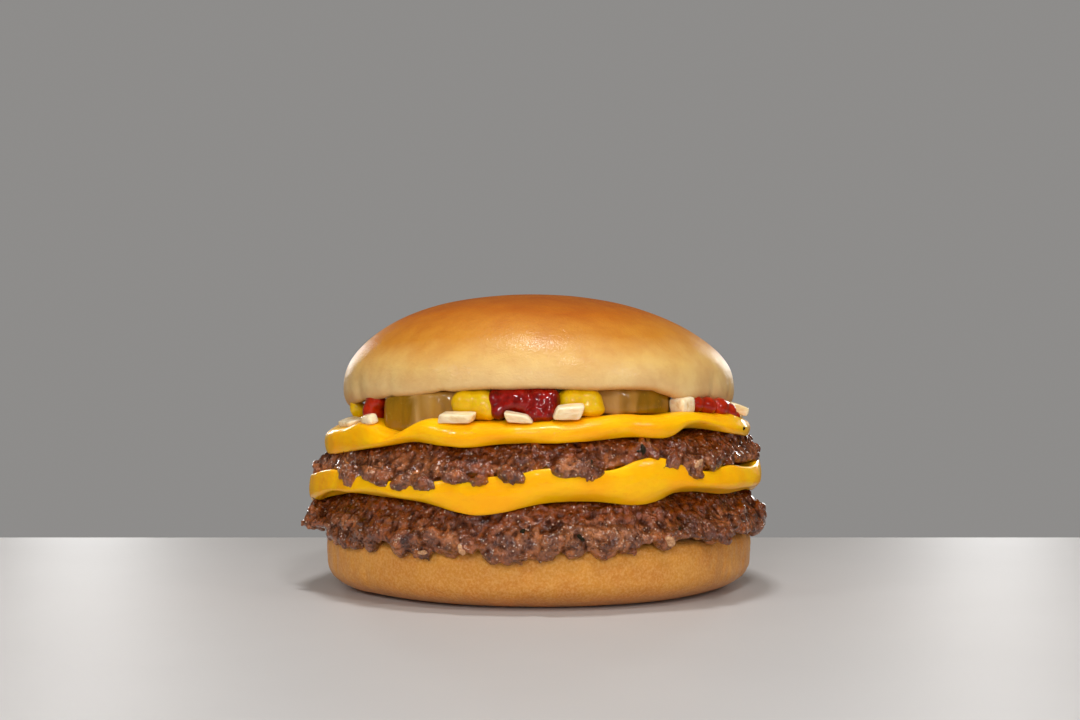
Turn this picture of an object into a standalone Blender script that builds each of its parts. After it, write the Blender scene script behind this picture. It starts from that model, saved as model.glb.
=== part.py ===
"""Double cheeseburger: two bun halves, two ground beef patties, two layers of melted cheese,
pickle chips, mustard, ketchup and diced onion.

The stack stands on the XY plane, centred on the Z axis, with its front towards -Y.
Sizes are in millimetres and become metres when a mesh is made. An angle is measured round
the stack from the front, in degrees, and is positive towards +X.
"""

import functools
import math

import bmesh
import bpy
from mathutils import Matrix, Vector, noise

MM = 0.001
GAP = 0.35  # clearance between pieces that rest on each other
DRAPE_GAP = 0.45  # clearance under the cheese, whose facets cut the patty's curve
STEPS = 80  # facets round a patty or a cheese layer
BUN_STEPS = 48

# Bottom bun
HEEL_RADIUS = 50.3
HEEL_HEIGHT = 15.0
HEEL_FOOT = 39.5  # radius of the flat underside

# Top bun
CROWN_RADIUS = 46.2
CROWN_TOP = 69.0
CROWN_WAIST = 48.6  # height at which the dome is widest
CROWN_CUT = 47.9  # height of the cut face inside the rim
LIP_LOW = 41.8  # the rim's lower edge at the two sides
LIP_RISE = 5.3  # how far the toppings push it up at the front and the back
CROWN_FULLNESS = 0.93  # below 1 the dome is flatter on top than an ellipse
CROWN_LEAN = -0.022  # the dome is fuller on the left

# Layers: mean radius, and height of the lower edge
LOWER_BEEF_RADIUS, LOWER_BEEF_EDGE = 54.3, 12.2
LOWER_CHEESE_EDGE = 23.3
UPPER_BEEF_RADIUS, UPPER_BEEF_SAG = 52.5, 0.6  # its lower edge hangs this far below the cheese's top
UPPER_CHEESE_RADIUS, UPPER_CHEESE_EDGE = 49.6, 35.2

# Heights of the layers' tops on the axis, and their rise from left to right
LOWER_BEEF_TOP, LOWER_BEEF_RISE = 25.0, 0.008
LOWER_CHEESE_TOP, LOWER_CHEESE_RISE = 28.5, 0.022
UPPER_BEEF_TOP, UPPER_BEEF_RISE = 37.0, 0.040
UPPER_CHEESE_TOP, UPPER_CHEESE_RISE = 40.8, 0.018
FLAT_RADIUS = 37.0  # inside this the layers are flat

# Rim of a patty: how far in from its widest circle, and the share of its height
BEEF_RIM = ((2.6, 0.0), (0.8, 0.09), (0.0, 0.24), (0.8, 0.42), (2.2, 0.58), (3.8, 0.75), (5.6, 0.91))
BEEF_SHOULDER = 8.4  # the top starts to fall away this far in from the widest circle
FLAP_TAPER = 0.32  # a rim that reaches out further is thinner
BEEF_LUMPS = 0.7  # unevenness of the lower edge all round
CRAG_DEPTH = 3.0
CRAG_SIZE = 4.4

# Swells round the stack: angle, half-width, height
LOWER_BEEF_REACH = ((-87, 8, 2.6), (-62, 6, -1.2), (-48, 8, 0.6), (-9, 12, 0.7), (84, 9, 0.4))
LOWER_BEEF_HEM = (
    (-80, 9, 0.8), (-63, 5, 3.0), (-49, 5, -0.7), (-33, 5, -1.6), (-9, 8, -1.8), (17, 5, -1.2), (35, 6, 1.2),
)
LOWER_CHEESE_HEM = ((-86, 12, -3.6), (-15, 12, -3.1), (24, 8, -1.3), (39, 6, 1.6), (86, 10, -1.4))
UPPER_BEEF_REACH = ((-84, 14, 1.9), (-35, 12, 0.6), (44, 9, 0.8), (88, 8, 0.4))
UPPER_BEEF_HEM = (
    (-86, 12, -2.4), (-52, 5, -1.6), (-33, 8, -2.8), (-14, 9, -1.0),
    (3, 7, 1.2), (27, 7, 2.7), (42, 5, -1.0), (56, 8, 0.8),
)
LIP_SWELLS = ((28, 10, 0.8), (43, 4, -0.5), (-38, 8, -0.2), (-84, 9, -0.4), (146, 14, 1.1), (216, 14, 1.1))
UPPER_CHEESE_CREST = (
    (-84, 18, -2.0), (-31, 8, 1.2), (-8, 7, -0.3), (22, 9, 1.4), (43, 8, 1.6), (86, 15, -1.6),
)
UPPER_CHEESE_HEM = (
    (-84, 25, -3.8), (-48, 14, -1.2), (-20, 7, -1.1), (20, 8, 1.0), (46, 9, 3.0), (62, 8, 0.8),
)
DENT_PLACE, DENT_SIZE, DENT_DEPTH = (-44.0, 41.0), 13.0, 2.8  # where the left pickle chip sinks in
BACK_WAVE = 1.3  # unevenness of the hems round the back

# Pickle chips: centre X and Y, radius, roll and outward tilt in degrees, side that the cut faces
PICKLES = (
    (-22.0, -26.6, 12.0, 5.0, 3.0, -38.0),
    (16.6, -28.7, 10.7, 0.0, 0.0, 30.0),
    (19.3, 25.6, 11.0, 1.0, 0.0, 143.0),
    (-21.7, 24.1, 11.0, -1.0, 0.0, 222.0),
)
PICKLE_THICKNESS = 4.8
PICKLE_CUT = 10.4  # distance of the flat cut from the chip's centre

# Mustard beads: angle, radius of the centre, width, depth
MUSTARD = (
    (-18.2, 42.0, 9.2, 6.0), (11.2, 41.8, 10.8, 5.8), (-76, 43.4, 5.0, 3.8),
    (108, 40.6, 8.0, 6.4), (199, 41.4, 7.0, 7.0),
)

# Ketchup: the pool's lobes as angle, half-width and reach, and the beads like the mustard's
KETCHUP_CORE = 17.0
KETCHUP_LOBES = ((-3.8, 10.4, 45.0), (183, 8.0, 44.0))
KETCHUP_BEADS = (
    (-58.5, 43.8, 5.4, 6.0), (53.5, 43.6, 5.4, 5.4), (63.5, 45.2, 7.6, 5.4), (164, 42.4, 7.0, 6.0),
)

# Diced onion: angle, radius, length, depth, height, turn in degrees
ONIONS = (
    (-22.0, 47.4, 7.6, 3.4, 2.7, 4), (-5.6, 47.2, 5.4, 3.2, 2.5, -6), (7.4, 47.2, 6.0, 3.0, 3.0, 2),
    (46.0, 43.8, 4.4, 4.4, 2.4, 0), (76.0, 47.7, 3.6, 5.0, 2.1, 12), (-69.0, 46.8, 6.4, 4.0, 2.2, 10),
    (-54.0, 47.4, 4.4, 2.6, 1.9, 0), (92, 48.0, 4.2, 4.6, 2.0, -16), (124, 46.8, 6.6, 4.0, 2.4, 8),
    (141, 47.4, 5.2, 3.4, 2.6, -12), (168, 47.4, 5.6, 3.4, 2.5, 14), (188, 47.4, 6.6, 3.2, 2.6, -5),
    (211, 47.4, 5.6, 3.6, 2.4, 10), (232, 47.2, 6.4, 3.4, 2.6, -14), (249, 47.0, 5.4, 4.4, 2.3, 6),
    (262, 47.0, 4.0, 5.4, 2.2, -20),
)
ONION_MOST_LEAN = 25.0


def clear_scene():
    for item in list(bpy.data.objects):
        bpy.data.objects.remove(item)


def material(name, colour, roughness):
    made = bpy.data.materials.new(name)
    made.use_nodes = True
    shader = made.node_tree.nodes["Principled BSDF"]
    shader.inputs["Base Color"].default_value = (*colour, 1.0)
    shader.inputs["Roughness"].default_value = roughness
    shader.inputs["Metallic"].default_value = 0.0
    return made


def finish(name, shape, made_of, sharp_deg=50.0):
    """Turns a bmesh in millimetres into a smooth-shaded object in metres."""
    bmesh.ops.scale(shape, vec=(MM, MM, MM), verts=shape.verts)
    bmesh.ops.recalc_face_normals(shape, faces=shape.faces)
    mesh = bpy.data.meshes.new(name)
    shape.to_mesh(mesh)
    shape.free()
    mesh.shade_smooth()
    mesh.set_sharp_from_angle(angle=math.radians(sharp_deg))
    mesh.materials.append(made_of)
    item = bpy.data.objects.new(name, mesh)
    bpy.context.scene.collection.objects.link(item)
    return item


def mix(a, b, share):
    return a + (b - a) * share


def around(angle):
    """The angle brought into -180 to 180."""
    return (angle + 180.0) % 360.0 - 180.0


def swell(angle, swells):
    return sum(height * math.exp(-((around(angle - at) / width) ** 2)) for at, width, height in swells)


def wave(angle, seed, turns=3.0):
    """Smooth unevenness from -1 to 1 that closes on itself round the stack."""
    a = math.radians(angle)
    return noise.noise(Vector((turns * math.cos(a), turns * math.sin(a), seed)))


def behind(angle):
    """0 over the front half, 1 round the back."""
    share = min(1.0, max(0.0, (abs(around(angle)) - 85.0) / 25.0))
    return share * share * (3.0 - 2.0 * share)


def place(angle, radius, height):
    a = math.radians(angle)
    return Vector((radius * math.sin(a), -radius * math.cos(a), height))


def across(angle, radius):
    """Distance to the right of the axis."""
    return radius * math.sin(math.radians(angle))


def turned(profile_at, steps):
    """A solid turned about Z. Its outline, a list of (radius, height), may change with the angle,
    and starts and ends on the axis."""
    shape = bmesh.new()
    line = [shape.verts.new((1.0, 0.0, k)) for k in range(len(profile_at(0.0)))]
    edges = [shape.edges.new(pair) for pair in zip(line, line[1:])]
    bmesh.ops.spin(
        shape, geom=line + edges, cent=(0, 0, 0), axis=(0, 0, 1),
        angle=math.tau, steps=steps, use_merge=True,
    )
    for point in shape.verts:
        angle = round(math.degrees(math.atan2(point.co.x, -point.co.y)), 4)
        point.co = place(angle, *profile_at(angle)[round(point.co.z)])
    bmesh.ops.remove_doubles(shape, verts=shape.verts, dist=1e-3)
    return shape


def height_along(points, radius):
    """Height of an outline at a radius, from points that run outwards."""
    for (r0, z0), (r1, z1) in zip(points, points[1:]):
        if r0 <= radius <= r1:
            return mix(z0, z1, (radius - r0) / max(r1 - r0, 1e-6))
    return points[-1][1]


def moved_out(points, distance):
    """An outline moved along its normals, to the left of the way that it runs."""
    out = []
    for k, (r, z) in enumerate(points):
        before, after = points[max(k - 1, 0)], points[min(k + 1, len(points) - 1)]
        along = Vector((after[0] - before[0], after[1] - before[1])).normalized()
        out.append((max(0.0, r - along.y * distance) if k else 0.0, z + along.x * distance))
    return out


def resampled(points, count):
    """The outline again, as evenly spaced points."""
    lengths = [math.dist(a, b) for a, b in zip(points, points[1:])]
    out, k, passed = [], 0, 0.0
    for n in range(count):
        wanted = sum(lengths) * n / (count - 1)
        while k < len(lengths) - 1 and passed + lengths[k] < wanted:
            passed += lengths[k]
            k += 1
        share = min(1.0, (wanted - passed) / max(lengths[k], 1e-9))
        out.append((mix(points[k][0], points[k + 1][0], share), mix(points[k][1], points[k + 1][1], share)))
    return out


# Bottom bun

@functools.cache
def heel_profile(angle):
    radius = HEEL_RADIUS + 0.5 * wave(angle, 3.1, 1.6)
    side = HEEL_RADIUS - HEEL_FOOT
    corner = [
        (radius - side * (1 - math.sin(t)), 9.5 * (1 - math.cos(t)) ** 1.15)
        for t in (math.radians(d) for d in (18, 40, 62, 90))
    ]
    shoulder = [
        (radius - inset, HEEL_HEIGHT - drop) for inset, drop in ((0.25, 2.6), (1.6, 0.8), (4.5, 0.0))
    ]
    return [(0.0, 0.0), (HEEL_FOOT, 0.0), *corner, *shoulder, (0.0, HEEL_HEIGHT)]


# Beef patties

def beef_profile(reach, inner_base, base, hem, inner_top, shoulder, taper=1.0):
    """Outline of a patty: the flat underside, the rim and the flat top."""
    height = shoulder - hem
    limit = BEEF_SHOULDER - 1.0
    rim = [(reach - min(inset * taper, limit), hem + share * height) for inset, share in BEEF_RIM]
    return [
        (0.0, inner_base),
        (FLAT_RADIUS, inner_base),
        *base,
        *rim,
        (reach - BEEF_SHOULDER, shoulder),
        (FLAT_RADIUS, inner_top),
        (0.0, inner_top),
    ]


def sloped(height, rise, angle, radius):
    return height + rise * across(angle, radius)


@functools.cache
def lower_beef_profile(angle):
    reach = LOWER_BEEF_RADIUS + swell(angle, LOWER_BEEF_REACH) + 0.7 * wave(angle, 7.7, 2.4)
    hem = (
        LOWER_BEEF_EDGE + swell(angle, LOWER_BEEF_HEM) + BEEF_LUMPS * wave(angle, 21.0, 8.0)
        + BACK_WAVE * behind(angle) * wave(angle, 1.3)
    )
    under = HEEL_HEIGHT + GAP
    base = [(HEEL_RADIUS - 3.0, under), (HEEL_RADIUS + 0.6, max(under - 1.0, hem))]
    top = sloped(LOWER_BEEF_TOP, LOWER_BEEF_RISE, angle, FLAT_RADIUS)
    taper = 1.0 + FLAP_TAPER * max(0.0, reach - LOWER_BEEF_RADIUS - 0.5)
    outline = beef_profile(reach, under, base, min(hem, under - 0.8), top, top - 0.5, taper)
    return [*outline[:-1], (0.0, LOWER_BEEF_TOP)]


@functools.cache
def upper_beef_profile(angle):
    reach = UPPER_BEEF_RADIUS + swell(angle, UPPER_BEEF_REACH) + 0.6 * wave(angle, 4.2, 2.6)
    hem = (
        sloped(LOWER_CHEESE_TOP, LOWER_CHEESE_RISE, angle, 45.0) - UPPER_BEEF_SAG
        + swell(angle, UPPER_BEEF_HEM) + BEEF_LUMPS * wave(angle, 27.0, 8.0)
        + BACK_WAVE * behind(angle) * wave(angle, 9.4)
    )
    under = sloped(LOWER_CHEESE_TOP, LOWER_CHEESE_RISE, angle, FLAT_RADIUS) + GAP
    top = sloped(UPPER_BEEF_TOP, UPPER_BEEF_RISE, angle, FLAT_RADIUS)
    shoulder = sloped(UPPER_BEEF_TOP, UPPER_BEEF_RISE, angle, 45.0) - 0.3
    taper = 1.0 + FLAP_TAPER * max(0.0, reach - UPPER_BEEF_RADIUS - 0.5)
    outline = beef_profile(reach, under, [(reach - 6.5, hem)], hem, top, shoulder, taper)
    return [(0.0, LOWER_CHEESE_TOP + GAP), *outline[1:-1], (0.0, UPPER_BEEF_TOP)]


def craggy(shape, seed, cover):
    """Carves crags into the rim of a patty, never outside its outline, below the cheese that covers it."""
    bmesh.ops.recalc_face_normals(shape, faces=shape.faces)
    shape.normal_update()
    for point in shape.verts:
        if math.hypot(point.co.x, point.co.y) < FLAT_RADIUS + 6.0:
            continue
        angle = math.degrees(math.atan2(point.co.x, -point.co.y))
        bare = min(1.0, max(0.0, cover(angle) - point.co.z))
        at = point.co / CRAG_SIZE + Vector((seed, 0.0, 0.0))
        depth = 0.35 - 0.6 * noise.noise(at) + 0.5 * abs(noise.noise(at * 1.7))
        point.co -= point.normal * CRAG_DEPTH * bare * min(1.0, max(0.0, depth))


# Cheese layers

def draped(beef, hem):
    """The underside of a cheese layer: over the patty's top and down its rim to the hem."""
    top_down = beef[::-1]
    path = top_down[:3]
    hem = min(hem, path[-1][1] - 0.7)
    for a, b in zip(top_down[2:], top_down[3:]):
        if b[1] <= hem:
            share = min(1.0, max(0.0, (a[1] - hem) / max(a[1] - b[1], 1e-6)))
            path.append((mix(a[0], b[0], share), mix(a[1], b[1], share)))
            break
        path.append(b)
    lifted = moved_out(path, DRAPE_GAP)
    fixed = 4 if len(lifted) > 4 else 3
    return [*lifted[: fixed - 1], *resampled(lifted[fixed - 1 :], 9 - fixed)]


def lower_cheese_hem(angle):
    return LOWER_CHEESE_EDGE + swell(angle, LOWER_CHEESE_HEM) + BACK_WAVE * behind(angle) * wave(angle, 5.5)


@functools.cache
def lower_cheese_profile(angle):
    """Squeezed out between the patties, it swells round the edge of the upper one."""
    under = draped(lower_beef_profile(angle), lower_cheese_hem(angle))
    above = moved_out(upper_beef_profile(angle)[:5], -GAP)
    tip_r, tip_z = under[-1]
    lid_r, lid_z = above[-1]
    belly = max(lid_r, tip_r) + 0.9 + 0.3 * wave(angle, 2.2, 2.0)
    face = [
        (tip_r + 0.6, tip_z + 0.15),
        (mix(tip_r, belly, 0.85), mix(tip_z, lid_z, 0.28)),
        (belly, mix(tip_z, lid_z, 0.58)),
        (mix(lid_r, belly, 0.75), mix(tip_z, lid_z, 0.88)),
    ]
    return [*under, *face, *above[::-1]]


def pickle_dent(angle, radius):
    """The cheese sags under the pickle chip at the front left."""
    spot = place(angle, radius, 0.0) - place(*DENT_PLACE, 0.0)
    return DENT_DEPTH * math.exp(-((spot.length / DENT_SIZE) ** 2))


def upper_cheese_hem(angle):
    return UPPER_CHEESE_EDGE + swell(angle, UPPER_CHEESE_HEM) + BACK_WAVE * behind(angle) * wave(angle, 6.8)


@functools.cache
def upper_cheese_profile(angle):
    under = draped(upper_beef_profile(angle), upper_cheese_hem(angle))
    tip_r, tip_z = under[-1]
    reach = max(UPPER_CHEESE_RADIUS, tip_r + 1.0) + 0.35 * wave(angle, 8.8, 2.0)
    crest = swell(angle, UPPER_CHEESE_CREST)
    rises = ((reach - 2.8, crest - 0.8), (reach - 6.2, min(crest / 2, crest / 4) - 0.1), (FLAT_RADIUS, 0.0))
    lid = [
        (r, sloped(UPPER_CHEESE_TOP, UPPER_CHEESE_RISE, angle, r) + rise - pickle_dent(angle, r))
        for r, rise in rises
    ]
    top = lid[0][1]
    face = [
        (tip_r + 0.6, tip_z + 0.15),
        (mix(tip_r, reach, 0.85), mix(tip_z, top, 0.25)),
        (reach, mix(tip_z, top, 0.55)),
        (reach - 0.7, mix(tip_z, top, 0.84)),
    ]
    return [*under, *face, *lid, (0.0, UPPER_CHEESE_TOP)]


def cheese_height(point):
    """Height of the upper cheese layer's top under a point."""
    angle = math.degrees(math.atan2(point.x, -point.y))
    lid = upper_cheese_profile(round(angle, 2))[:-6:-1]
    return height_along(lid, math.hypot(point.x, point.y))


# Top bun

def lip_height(angle):
    """The rim's lower edge: the toppings hold it up at the front and the back."""
    held_up = math.hypot(math.cos(math.radians(angle)), 0.08)
    return LIP_LOW + LIP_RISE * held_up + swell(angle, LIP_SWELLS) + 0.25 * wave(angle, 11.0, 2.4)


@functools.cache
def crown_profile(angle):
    lip = lip_height(angle)
    waist = mix(CROWN_WAIST, lip + 2.6, 0.45)
    radius = CROWN_RADIUS + 0.5 * wave(angle, 12.0, 1.4)
    dome = []
    for degrees in (0, 12, 24, 36, 48, 60, 71, 82):
        t = math.radians(degrees)
        r = radius * math.cos(t) ** CROWN_FULLNESS
        lean = CROWN_LEAN * across(angle, r) * math.sin(2 * t)
        dome.append((r, waist + (CROWN_TOP - waist) * math.sin(t) + lean))
    return [
        (0.0, CROWN_CUT),
        (38.0, CROWN_CUT),
        (42.0, mix(CROWN_CUT, lip, 0.4)),
        (43.6, lip + 0.1),
        (radius - 1.2, lip + 0.3),
        (radius - 0.3, mix(lip, waist, 0.4)),
        *dome,
        (0.0, CROWN_TOP),
    ]


def crown_height(point):
    """Height of the top bun's underside over a point."""
    angle = math.degrees(math.atan2(point.x, -point.y))
    return height_along(crown_profile(round(angle, 2))[:5], math.hypot(point.x, point.y))


# Toppings

def set_down(shape):
    """Lets a topping down until it just clears the cheese."""
    tests = [point.co for point in shape.verts]
    tests += [(edge.verts[0].co + edge.verts[1].co) / 2 for edge in shape.edges]
    tests += [face.calc_center_median() for face in shape.faces]
    lift = max(cheese_height(at) + GAP - at.z for at in tests)
    bmesh.ops.translate(shape, vec=(0, 0, lift), verts=shape.verts)


def turn(shape, degrees, axis):
    matrix = Matrix.Rotation(math.radians(degrees), 3, axis)
    bmesh.ops.rotate(shape, cent=(0, 0, 0), matrix=matrix, verts=shape.verts)


def pressed(shape):
    """Squeezes a soft topping between the cheese and the top bun."""
    for point in shape.verts:
        floor = cheese_height(point.co) + GAP
        roof = crown_height(point.co) - GAP
        outside = math.hypot(point.co.x, point.co.y) > CROWN_RADIUS
        low = max(point.co.z, floor)
        point.co.z = low if outside else max(min(low, roof), floor)


def bead(angle, radius, width, depth):
    """A bead of sauce that stands on the cheese and reaches the bun."""
    shape = bmesh.new()
    bmesh.ops.create_uvsphere(shape, u_segments=12, v_segments=8, radius=1.0)
    centre = place(angle, radius, 0.0)
    floor, roof = cheese_height(centre) + GAP, crown_height(centre) - GAP
    height = roof - floor + 1.2
    bmesh.ops.scale(shape, vec=(width / 2, depth / 2, height / 2), verts=shape.verts)
    turn(shape, angle, "Z")
    bmesh.ops.translate(shape, vec=centre + Vector((0, 0, (floor + roof) / 2)), verts=shape.verts)
    pressed(shape)
    return shape


def ketchup_reach(angle):
    out = KETCHUP_CORE
    for at, half, reach in KETCHUP_LOBES:
        share = math.exp(-((abs(around(angle - at)) / half) ** 8))
        out = max(out, mix(KETCHUP_CORE, reach, share))
    return out


@functools.cache
def ketchup_profile(angle):
    reach = ketchup_reach(angle)
    floor, roof = UPPER_CHEESE_TOP + GAP, CROWN_CUT - GAP
    return [
        (0.0, floor),
        (reach - 1.6, floor),
        (reach - 0.3, mix(floor, roof, 0.22)),
        (reach, mix(floor, roof, 0.5)),
        (reach - 0.8, mix(floor, roof, 0.85)),
        (reach - 2.6, roof),
        (0.0, roof),
    ]


def ketchup_pool():
    shape = turned(ketchup_profile, 72)
    pressed(shape)
    return shape


def pickle(x, y, radius, roll, tilt, facing):
    """A thick chip with softened edges, trimmed flat on one side."""
    shape = bmesh.new()
    bmesh.ops.create_cone(
        shape, segments=20, radius1=radius, radius2=radius, depth=PICKLE_THICKNESS, cap_ends=True,
    )
    rims = [e for e in shape.edges if abs(e.verts[0].co.z - e.verts[1].co.z) < 0.1]
    bmesh.ops.bevel(
        shape, geom=rims, offset=0.6, segments=1, profile=0.5, affect="EDGES", material=-1,
    )
    out = place(facing, 1.0, 0.0)
    geometry = shape.verts[:] + shape.edges[:] + shape.faces[:]
    bmesh.ops.bisect_plane(shape, geom=geometry, plane_co=out * PICKLE_CUT, plane_no=out, clear_outer=True)
    bmesh.ops.holes_fill(shape, edges=[e for e in shape.edges if e.is_boundary], sides=0)
    turn(shape, roll, Vector((x, y, 0.0)).normalized())
    turn(shape, tilt, Vector((-y, x, 0.0)).normalized())
    bmesh.ops.translate(shape, vec=(x, y, 0.0), verts=shape.verts)
    set_down(shape)
    return shape


def onion(angle, radius, length, depth, height, twist):
    """One dice of onion, slightly wedge-shaped, with softened edges, leaning with the cheese."""
    shape = bmesh.new()
    bmesh.ops.create_cube(shape, size=1.0)
    bmesh.ops.scale(shape, vec=(length, depth, height), verts=shape.verts)
    for point in shape.verts:
        point.co.x *= 1.0 - 0.10 * math.copysign(1.0, point.co.z) * wave(angle * 7.0, length)
        point.co.z *= 1.0 + 0.16 * math.copysign(1.0, point.co.y) * wave(angle * 5.0, depth)
    bmesh.ops.bevel(
        shape, geom=shape.edges[:], offset=0.35, segments=1, profile=0.5, affect="EDGES", material=-1,
    )
    inner = cheese_height(place(angle, radius - depth / 2, 0.0))
    outer = cheese_height(place(angle, radius + depth / 2, 0.0))
    lean = math.degrees(math.atan2(inner - outer, depth))
    turn(shape, twist, "Z")
    turn(shape, min(max(lean, 0.0), ONION_MOST_LEAN), "X")
    turn(shape, angle, "Z")
    bmesh.ops.translate(shape, vec=place(angle, radius, 0.0), verts=shape.verts)
    set_down(shape)
    return shape


def main():
    clear_scene()
    crust = material("toasted_crust", (0.62, 0.30, 0.09), 0.45)
    beef = material("seared_beef", (0.14, 0.06, 0.035), 0.5)
    cheese = material("melted_cheese", (0.92, 0.47, 0.03), 0.25)
    brine = material("pickled_cucumber", (0.22, 0.19, 0.03), 0.3)
    mustard = material("yellow_mustard", (0.80, 0.56, 0.02), 0.2)
    ketchup = material("tomato_ketchup", (0.42, 0.02, 0.01), 0.15)
    white = material("raw_onion", (0.85, 0.80, 0.66), 0.3)

    finish("bun_bottom", turned(heel_profile, BUN_STEPS), crust)

    lower = turned(lower_beef_profile, STEPS)
    craggy(lower, 2.0, lower_cheese_hem)
    finish("patty_lower", lower, beef)
    finish("cheese_lower", turned(lower_cheese_profile, STEPS), cheese)

    upper = turned(upper_beef_profile, STEPS)
    craggy(upper, 31.0, upper_cheese_hem)
    finish("patty_upper", upper, beef)
    finish("cheese_upper", turned(upper_cheese_profile, STEPS), cheese)

    for k, chip in enumerate(PICKLES, 1):
        finish(f"pickle_{k}", pickle(*chip), brine)
    for k, drop in enumerate(MUSTARD, 1):
        finish(f"mustard_{k}", bead(*drop), mustard)
    finish("ketchup_pool", ketchup_pool(), ketchup)
    for k, drop in enumerate(KETCHUP_BEADS, 1):
        finish(f"ketchup_bead_{k}", bead(*drop), ketchup)
    for k, dice in enumerate(ONIONS, 1):
        finish(f"onion_{k:02d}", onion(*dice), white)

    finish("bun_top", turned(crown_profile, BUN_STEPS), crust)


main()
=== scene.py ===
import math
import random

import bmesh
import bpy
from mathutils import Matrix, Vector, noise
from mathutils.bvhtree import BVHTree


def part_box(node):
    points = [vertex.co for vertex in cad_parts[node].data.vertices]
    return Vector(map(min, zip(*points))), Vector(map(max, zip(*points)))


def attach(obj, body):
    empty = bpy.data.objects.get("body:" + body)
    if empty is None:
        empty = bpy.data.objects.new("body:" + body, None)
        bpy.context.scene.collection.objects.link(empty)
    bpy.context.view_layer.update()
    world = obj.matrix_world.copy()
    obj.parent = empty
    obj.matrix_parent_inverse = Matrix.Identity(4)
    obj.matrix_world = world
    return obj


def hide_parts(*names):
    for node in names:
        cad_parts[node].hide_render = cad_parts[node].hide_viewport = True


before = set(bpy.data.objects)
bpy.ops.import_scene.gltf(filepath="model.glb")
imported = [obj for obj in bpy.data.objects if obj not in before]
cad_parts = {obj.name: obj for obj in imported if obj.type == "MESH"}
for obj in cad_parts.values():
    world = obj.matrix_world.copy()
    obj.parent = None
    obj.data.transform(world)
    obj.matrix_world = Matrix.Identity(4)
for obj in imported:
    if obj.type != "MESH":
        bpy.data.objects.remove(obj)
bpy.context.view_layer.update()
mm = 0.001  # the pieces' sizes are in millimetres, and Blender's own are in metres
print("packed burger loaded:", len(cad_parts), "solids")


# places round the stack: the angle is 0 at the front and grows towards the right

def angleOf(point):
    return math.degrees(math.atan2(point.x, -point.y))


def radiusOf(point):
    return math.hypot(point.x, point.y)


def spot(angle, radius, height):
    turn = math.radians(angle)
    return Vector((radius * math.sin(turn), -radius * math.cos(turn), height)) * mm


def apart(angle, other):
    return abs((angle - other + 180.0) % 360.0 - 180.0)


def bumps(angle, places):
    # each place is an angle, a half-width and a height
    return sum(height * math.exp(-((apart(angle, at) / width) ** 2)) for at, width, height in places)


def ease(value, low, high):
    share = min(1.0, max(0.0, (value - low) / (high - low)))
    return share * share * (3.0 - 2.0 * share)


def lump(point, size, seed):
    return noise.noise(point / size + Vector((seed, 1.7 * seed, -seed)))


def pushAbout(vert, size, depth, seed):
    # moves a point in or out by a lumpy pattern
    vert.co += vert.normal * depth * lump(vert.co, size * mm, seed) * mm


# mesh helpers

solidCopy = {"mergeWithin": 0.004, "faceAngle": 60, "shapeAngle": 90}


def mergedCopy(nodeName):
    # a solid comes as loose triangles: its copy is merged, and the triangles are paired
    shape = bmesh.new()
    shape.from_mesh(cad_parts[nodeName].data)
    bmesh.ops.remove_doubles(shape, verts=shape.verts, dist=solidCopy["mergeWithin"] * mm)
    bmesh.ops.join_triangles(
        shape, faces=shape.faces,
        angle_face_threshold=math.radians(solidCopy["faceAngle"]),
        angle_shape_threshold=math.radians(solidCopy["shapeAngle"]),
    )
    return shape


def throughModifier(shape, kind, **settings):
    mesh = bpy.data.meshes.new("bench")
    shape.to_mesh(mesh)
    shape.free()
    bench = bpy.data.objects.new("bench", mesh)
    bpy.context.scene.collection.objects.link(bench)
    modifier = bench.modifiers.new("step", kind)
    for name, value in settings.items():
        setattr(modifier, name, value)
    made = bmesh.new()
    made.from_object(bench, bpy.context.evaluated_depsgraph_get())
    bpy.data.objects.remove(bench)
    bpy.data.meshes.remove(mesh)
    made.normal_update()
    return made


def rounded(shape, levels):
    return throughModifier(shape, "SUBSURF", levels=levels, render_levels=levels)


def remeshed(shape, voxel):
    return throughModifier(shape, "REMESH", mode="VOXEL", voxel_size=voxel * mm)


def smoothen(shape, verts, rounds):
    for step in range(rounds):
        bmesh.ops.smooth_vert(
            shape, verts=verts, factor=0.5, use_axis_x=True, use_axis_y=True, use_axis_z=True,
        )


def finishPiece(name, shape, finish, replaced=()):
    mesh = bpy.data.meshes.new(name)
    shape.to_mesh(mesh)
    shape.free()
    mesh.shade_smooth()
    mesh.materials.clear()
    mesh.materials.append(finish)
    piece = bpy.data.objects.new(name, mesh)
    bpy.context.scene.collection.objects.link(piece)
    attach(piece, "root")
    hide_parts(*replaced)


def paint(shape, layerName, valueAt):
    layer = shape.verts.layers.float.new(layerName)
    for vert in shape.verts:
        vert[layer] = valueAt(vert)


# material helpers

def tint(red, green, blue):
    # a screen colour, with each part from 0 to 255
    def linear(value):
        value /= 255.0
        return value / 12.92 if value <= 0.04045 else ((value + 0.055) / 1.055) ** 2.4
    return (linear(red), linear(green), linear(blue), 1.0)


def addNode(tree, kind, feeds, **settings):
    # a feed is named by its socket's name or number, and is a value or another node's output
    made = tree.nodes.new("ShaderNode" + kind)
    for name, value in settings.items():
        setattr(made, name, value)
    for name, value in feeds.items():
        if isinstance(value, bpy.types.NodeSocket):
            tree.links.new(value, made.inputs[name])
        else:
            made.inputs[name].default_value = value
    return made


def startFinish(name, **sockets):
    made = bpy.data.materials.new(name)
    made.use_nodes = True
    shader = made.node_tree.nodes["Principled BSDF"]
    for socket, value in sockets.items():
        shader.inputs[socket.replace("_", " ")].default_value = value
    return made, made.node_tree, shader


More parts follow.
